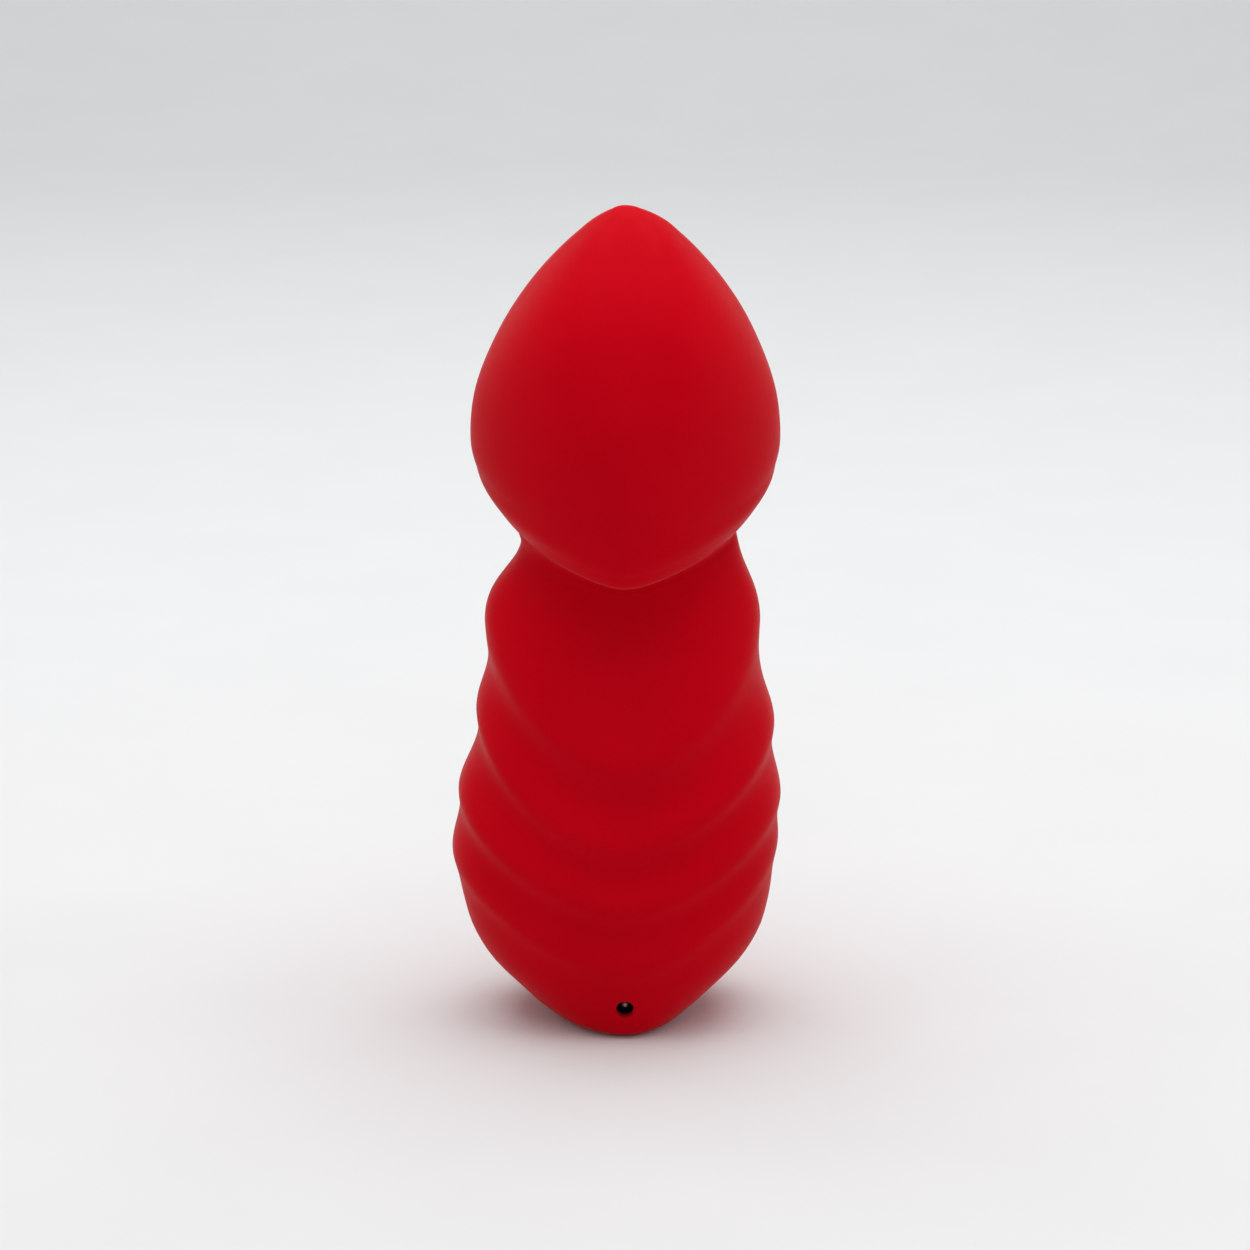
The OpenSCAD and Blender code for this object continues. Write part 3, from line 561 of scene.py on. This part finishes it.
def lip_cutter(y, tilt):
    """Trumpet that rounds the edge of the port, its bell tangent to the sloping skin."""
    stem = -(LIP_R + 0.06)
    profile = [(PORT_R * 0.2, stem), (PORT_R * 0.97, stem), (PORT_R, -LIP_R)]
    for a in np.linspace(0, HALF_PI, 9)[1:-1]:
        profile.append((PORT_R + LIP_R * (1 - math.cos(a)), -LIP_R * (1 - math.sin(a))))
    bell = PORT_R + LIP_R
    profile += [(bell, 0.0), (PORT_R + LIP_R * 1.02, 0.6)]
    verts, faces = revolve(profile, 72)
    face_front = Matrix.Rotation(math.radians(90), 3, "X")
    turn = np.array(Matrix.Rotation(tilt, 3, "X") @ face_front)
    verts = np.array(verts) @ turn.T + np.array([0, y * MM, PORT_Z * MM])
    return new_mesh("lip", verts, faces)


def skin_shell():
    shell = new_mesh("silicone_skin_shell", *loft(skin_grid()))
    cavity = cavity_cutter()
    nose = tube_cutter("nose", NOSE_R, NOSE_Y - GAP, NOSE_BACK_Y, PORT_Z, segments=64)
    block = block_cutter()
    # y of the skin at the port, and half a millimetre above and below it
    port_heights = [PORT_Z, PORT_Z + 0.5, PORT_Z - 0.5]
    port_y, above_y, below_y = [float(skin_y([0.0], [z], FRONT)[0]) for z in port_heights]
    bore = tube_cutter("bore", PORT_R, port_y - 4, NOSE_Y + 0.5, PORT_Z, segments=72)
    lip = lip_cutter(port_y + LIP_SINK, math.atan(below_y - above_y))
    window = tube_cutter("window", WINDOW_R, 12.0, 24, BUTTON_Z, segments=160)
    cut(shell, lip, cavity, nose, block, bore, window)
    shade_smooth(shell.data)
    shell.data.set_sharp_from_angle(angle=math.radians(38))
    set_material(shell, skin_red)
    return shell


skin = skin_shell()

# ---------------------------------------------------------------- button membrane, in mm
CAP_SEGMENTS = 160
PAD_BACK_Y, WEB_INNER_Y, WEB_OUTER_Y = 15.2, 16.0, 16.6
WEB_R = WINDOW_R + 0.12              # the web reaches just into the skin
CENTRE_R = 0.05
MOAT_FILLET, PAD_FILLET = 0.4, 0.45
DISH = 0.22                          # depth of the hollow in the pad


def button_membrane():
    """Pad, moat and web in one, built from the middle of the inner side to that of the outer."""
    angles = np.arange(CAP_SEGMENTS) * 2 * math.pi / CAP_SEGMENTS

    def flat_ring(radius, y):
        return np.stack([radius * np.cos(angles), np.full(CAP_SEGMENTS, y),
                         BUTTON_Z + radius * np.sin(angles)], -1)

    def skin_ring(radius, drop):
        x, z = radius * np.cos(angles), BUTTON_Z + radius * np.sin(angles)
        return np.stack([x, skin_y(x, z, BACK) - drop, z], -1)

    # inner side and rim of the web
    profile = [(radius, PAD_BACK_Y) for radius in (CENTRE_R, 2.0, 4.0, PAD_R - 0.25)]
    profile += [(PAD_R, PAD_BACK_Y + 0.2), (PAD_R, WEB_INNER_Y - 0.05), (PAD_R + 0.12, WEB_INNER_Y),
                (WEB_R, WEB_INNER_Y), (WEB_R, WEB_OUTER_Y)]
    # outer side of the web, and the fillet up to the pad
    profile += [(radius, WEB_OUTER_Y) for radius in np.linspace(WINDOW_R, PAD_R + 0.5, 6)]
    profile += [(PAD_R + MOAT_FILLET * (1 - math.sin(a)),
                 WEB_OUTER_Y + MOAT_FILLET * (1 - math.cos(a)))
                for a in np.linspace(0.2, HALF_PI, 5)]
    rings = [flat_ring(radius, y) for radius, y in profile]
    # side of the pad and its rounded edge
    low = flat_ring(PAD_R, WEB_OUTER_Y + MOAT_FILLET)
    edge = skin_ring(PAD_R, PAD_FILLET)
    rings += [low * (1 - t) + edge * t for t in (0.5, 1.0)]
    for a in np.linspace(0, HALF_PI, 7)[1:]:
        rings.append(skin_ring(PAD_R - PAD_FILLET * (1 - math.cos(a)),
                               PAD_FILLET * (1 - math.sin(a))))
    # shallow dish for the fingertip
    dish_r = PAD_R - PAD_FILLET
    for radius in np.linspace(dish_r, CENTRE_R, 26)[1:]:
        rings.append(skin_ring(radius, DISH * (1 - (radius / dish_r) ** 2) ** 1.5))
    membrane = new_mesh("button_membrane", *loft(np.array(rings)[:, ::-1] * MM))

    edit = bmesh.new()
    edit.from_mesh(membrane.data)
    bmesh.ops.recalc_face_normals(edit, faces=edit.faces)
    edit.to_mesh(membrane.data)
    edit.free()
    membrane.data.set_sharp_from_angle(angle=math.radians(50))
    set_material(membrane, skin_red)
    return membrane


cap = button_membrane()

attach(skin, "housing")
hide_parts("silicone_skin")
# the moat stretches between the housing and the moving button
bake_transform(cap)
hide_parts("button_pad", "button_web")

# ---------------------------------------------------------------- backdrop, in metres
BEND_Y, BEND_R, WALL_TOP = 0.75, 0.55, 1.6


def paper(name):
    s = Shader(name)
    shown = s.mix(s.mottle(30, low=0, high=1, detail=2),
                  (0.86, 0.865, 0.87, 1), (0.875, 0.88, 0.885, 1))
    # the sheet throws less light back than it shows to the camera
    seen = s.node("LightPath").outputs["Is Camera Ray"]
    s.paint({"Base Color": s.mix(seen, (0.70, 0.703, 0.706, 1), shown),
             "Roughness": 0.9,
             "Specular IOR Level": 0.1})
    s.bump(s.noise(scale=700, detail=4, roughness=0.6), strength=0.10, distance=0.0002)
    return s.material


def backdrop():
    """Floor, bend and wall in one sheet."""
    profile = [(-0.9, 0.0)]
    profile += [(y, 0.0) for y in np.linspace(-0.7, BEND_Y, 8)]
    profile += [(BEND_Y + BEND_R * math.sin(a), BEND_R * (1 - math.cos(a)))
                for a in np.linspace(0, HALF_PI, 24)[1:]]
    profile += [(BEND_Y + BEND_R, z) for z in np.linspace(BEND_R, WALL_TOP, 5)[1:]]
    across = np.linspace(-1.6, 1.6, 9)
    n = len(across)
    verts = [(x, y, z) for y, z in profile for x in across]
    faces = [(i * n + j, i * n + j + 1, (i + 1) * n + j + 1, (i + 1) * n + j)
             for i in range(len(profile) - 1) for j in range(n - 1)]
    sheet = new_mesh("backdrop", verts, faces)
    set_material(sheet, paper("paper_sweep"))


backdrop()

# ---------------------------------------------------------------- lights and world
# name, place, target, width, height, power in watts, colour
LIGHTS = [
    ("top_soft", (0.0, 0.10, 0.80), (0, 0.10, 0.0), 0.95, 0.95, 5.7, (1, 0.998, 0.992)),
    ("wall_soft", (0.0, 0.55, 1.35), (0, 1.3, 0.7), 1.8, 0.4, 4.0, (0.99, 0.995, 1.0)),
    ("front_soft", (0.0, -1.1, 0.75), (0, 0, 0.05), 0.9, 0.9, 1.55, (1, 1, 1)),
    ("left_soft", (-0.75, -0.05, 0.38), (0, 0, 0.05), 0.6, 0.6, 0.64, (1, 1, 1)),
    ("right_soft", (0.75, -0.05, 0.38), (0, 0, 0.05), 0.6, 0.6, 0.94, (1, 1, 1))]


def area_light(name, place, target, width, height, power, colour):
    light = bpy.data.lights.new(name, "AREA")
    light.shape = "RECTANGLE"
    light.size, light.size_y = width, height
    light.energy = power
    light.color = colour
    light.spread = math.radians(180)
    lamp = bpy.data.objects.new(name, light)
    scene.collection.objects.link(lamp)
    lamp.location = place
    aim = Vector(target) - Vector(place)
    lamp.rotation_euler = aim.to_track_quat("-Z", "Y").to_euler()


def soft_world():
    """Dim fill light, but as pale as the sheet where the camera sees past its edge."""
    world = bpy.data.worlds.new("soft_world")
    scene.world = world
    world.use_nodes = True
    nodes, links = world.node_tree.nodes, world.node_tree.links
    fill = nodes["Background"]
    fill.inputs["Color"].default_value = (0.97, 0.985, 1.0, 1)
    fill.inputs["Strength"].default_value = 0.235
    seen = nodes.new("ShaderNodeBackground")
    seen.inputs["Color"].default_value = (0.80, 0.81, 0.82, 1)
    path = nodes.new("ShaderNodeLightPath")
    choice = nodes.new("ShaderNodeMixShader")
    links.new(path.outputs["Is Camera Ray"], choice.inputs[0])
    links.new(fill.outputs[0], choice.inputs[1])
    links.new(seen.outputs[0], choice.inputs[2])
    links.new(choice.outputs[0], nodes["World Output"].inputs[0])


for light_row in LIGHTS:
    area_light(*light_row)
soft_world()

# ---------------------------------------------------------------- camera
ELEVATION = math.radians(15.0)
DISTANCE = 0.600
TARGET_Z = 56.4 * MM
VIEW_WIDTH = 175.0 * MM              # width seen at the target
SENSOR_WIDTH = 36.0                  # mm, as the lens

lens = bpy.data.cameras.new("camera")
lens.sensor_width = SENSOR_WIDTH
lens.lens = SENSOR_WIDTH * DISTANCE / VIEW_WIDTH
lens.clip_start = 0.01
lens.clip_end = 10
camera = bpy.data.objects.new("camera", lens)
scene.collection.objects.link(camera)
camera.location = (0.0, -DISTANCE * math.cos(ELEVATION), TARGET_Z + DISTANCE * math.sin(ELEVATION))
camera.rotation_euler = (math.radians(90) - ELEVATION, 0, 0)
scene.camera = camera
